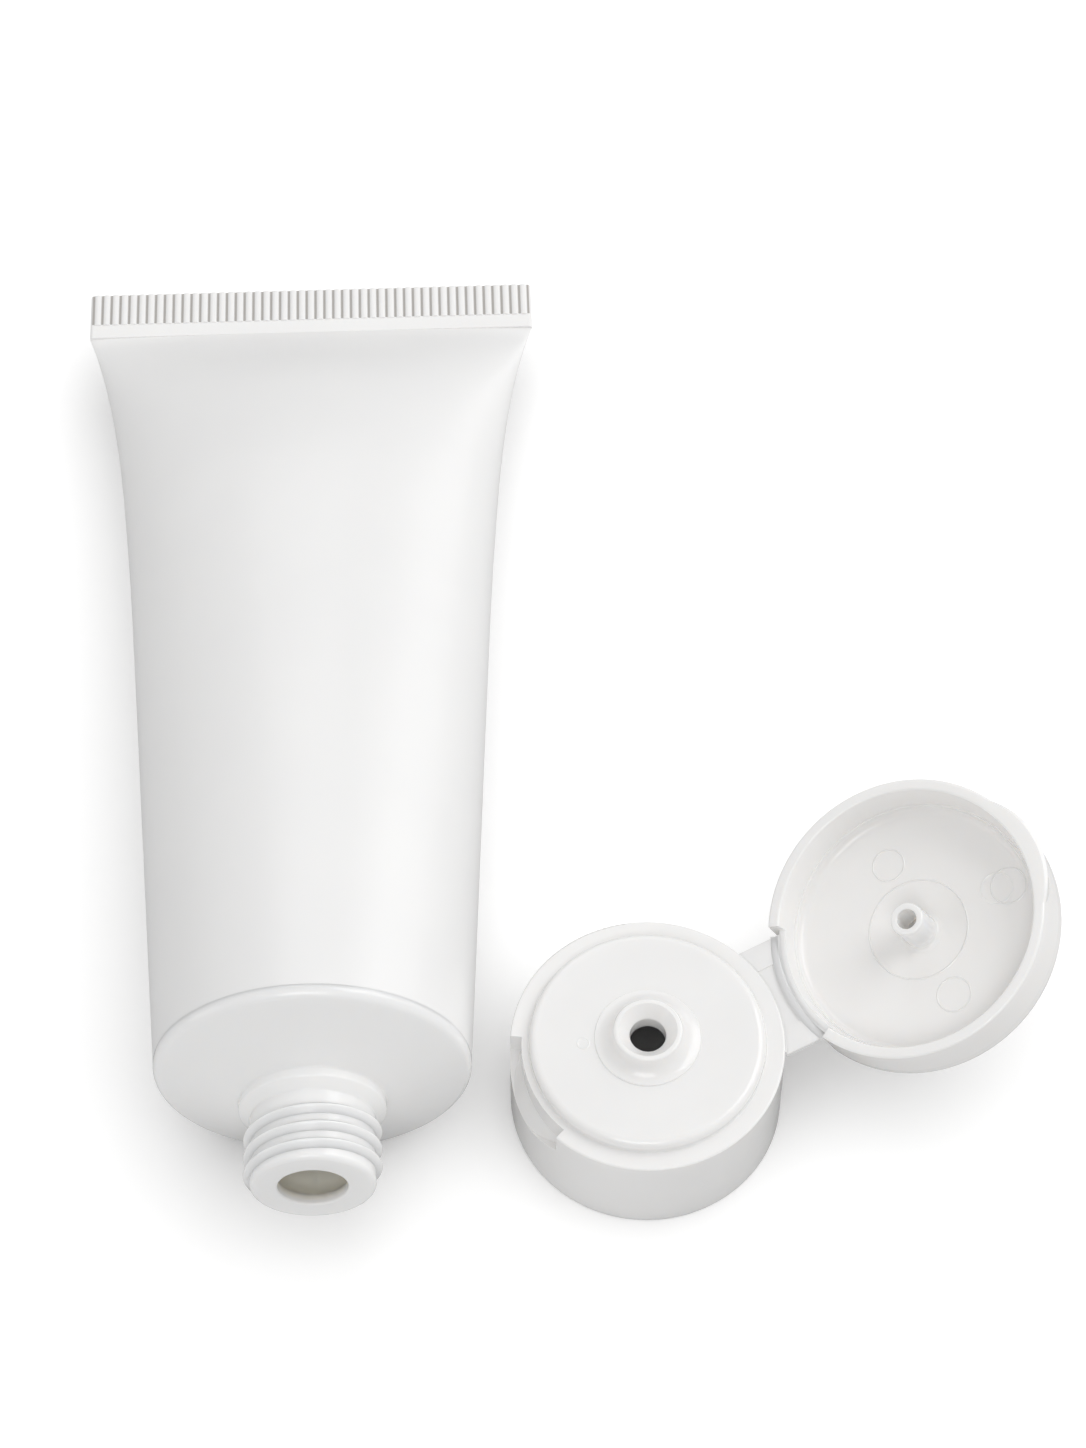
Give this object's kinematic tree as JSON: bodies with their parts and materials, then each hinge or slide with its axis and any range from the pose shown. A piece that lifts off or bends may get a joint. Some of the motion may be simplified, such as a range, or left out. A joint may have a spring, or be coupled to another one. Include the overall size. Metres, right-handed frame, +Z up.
{
  "type": "cosmetic tube",
  "caption": "Plastic squeeze tube with a crimped seal and a threaded neck, and its flip-top screw cap standing open beside it.",
  "frame": {"origin": "on the surface the tube and cap rest on, at the middle of the whole part seen from above", "axes": "+X from the tube towards the cap and its lid, +Y along the tube from the mouth to the crimped seal, +Z up"},
  "size_m": [0.126, 0.1428, 0.0401],
  "materials": {
    "sleeve_film": "satin",
    "head_plastic": "gloss",
    "cap_plastic": "gloss"
  },
  "bodies": {
    "tube_and_cap_base": {"tube_sleeve": "sleeve_film", "tube_head": "head_plastic", "cap_base": "cap_plastic"},
    "web": {"hinge_web": "cap_plastic"},
    "lid": {"cap_lid": "cap_plastic"}
  },
  "joints": [
    {"name": "web_fold", "type": "hinge", "parent": "tube_and_cap_base", "child": "web", "pos_m": [0.02684, -0.04365, 0.0151], "axis": [0.3502, -0.9367, 0], "range_deg": [-12.5, 77.45]},
    {"name": "lid_fold", "type": "hinge", "parent": "web", "child": "lid", "pos_m": [0.02895, -0.04286, 0.0156], "axis": [0.3502, -0.9367, 0], "range_deg": [-12.5, 77.45]}
  ],
  "couplings": [
    {"joint": "web_fold", "follows": "lid_fold", "ratio": 1}
  ]
}
